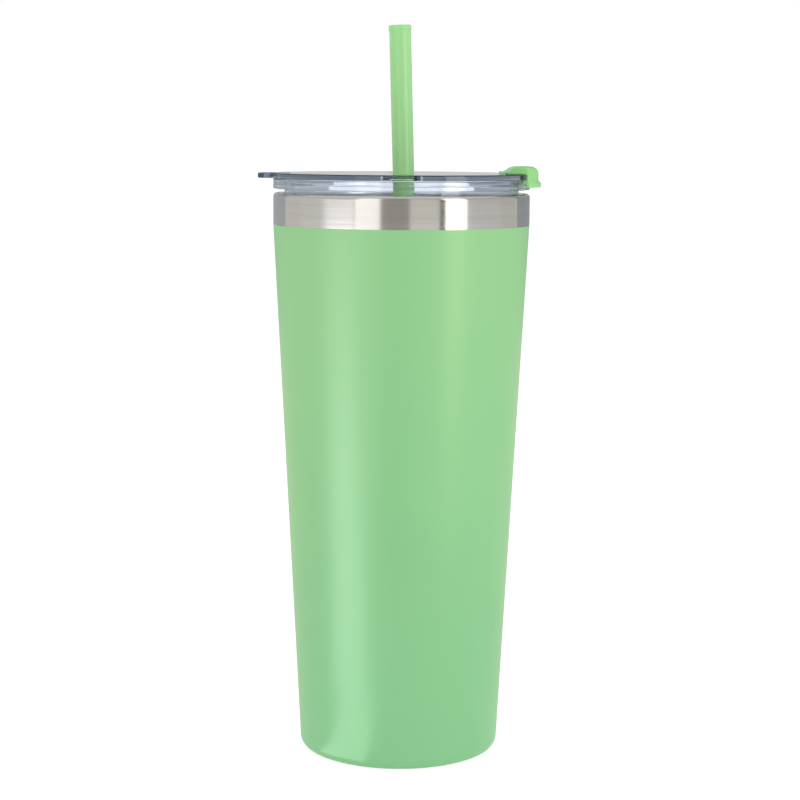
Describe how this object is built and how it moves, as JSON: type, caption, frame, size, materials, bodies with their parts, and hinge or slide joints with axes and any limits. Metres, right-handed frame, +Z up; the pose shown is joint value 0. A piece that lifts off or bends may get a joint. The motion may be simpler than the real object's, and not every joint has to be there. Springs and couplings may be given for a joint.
{
  "type": "insulated tumbler",
  "caption": "Tapered double-wall steel tumbler with a mint coat and bare rim band, clear press-in lid, flip stopper over a sip slot and a leaning straw.",
  "frame": {"origin": "middle of the foot ring, on the surface the cup stands on", "axes": "+Z up along the cup's axis, +X towards the flip stopper, -X towards the lid's lift tab"},
  "size_m": [0.0975, 0.0884, 0.2521],
  "materials": {
    "steel_shell": "circumferentially brushed",
    "powder": "satin powder coat, fine texture",
    "steel_liner": "electropolished",
    "steel_base": "pressed, matt",
    "solder": "fused glass solder",
    "getter_alloy": "sintered, grey",
    "clear_lid": "clear, polished, faint blue tint",
    "silicone": "clear silicone",
    "stopper_plastic": "satin moulded",
    "straw_plastic": "satin extruded"
  },
  "bodies": {
    "cup": {"outer_shell": "steel_shell", "powder_coat": "powder", "liner_tube": "steel_liner", "liner_bottom": "steel_liner", "base_plate": "steel_base", "base_cover": "steel_base", "seal_bead": "solder", "getter_pellet": "getter_alloy", "getter_clip": "steel_base"},
    "seal": {"lid_gasket": "silicone"},
    "lid": {"lid_body": "clear_lid", "stopper_anchor": "stopper_plastic"},
    "stopper": {"stopper_flap": "stopper_plastic"},
    "straw": {"straw": "straw_plastic"}
  },
  "joints": [
    {"name": "lid_lift", "type": "slide", "parent": "cup", "child": "seal", "axis": [0, 0, 1], "range_m": [0, 0.205]},
    {"name": "lid_turn", "type": "hinge", "parent": "seal", "child": "lid", "pos_m": [0, 0, 0.195], "axis": [0, 0, 1], "continuous": true},
    {"name": "stopper_flip", "type": "hinge", "parent": "lid", "child": "stopper", "pos_m": [0.0354, 0, 0.2028], "axis": [0, -1, 0], "range_deg": [0, 120]},
    {"name": "straw_slide", "type": "slide", "parent": "lid", "child": "straw", "axis": [-0.0295, 0, 0.9996], "range_m": [0, 0.2]}
  ]
}
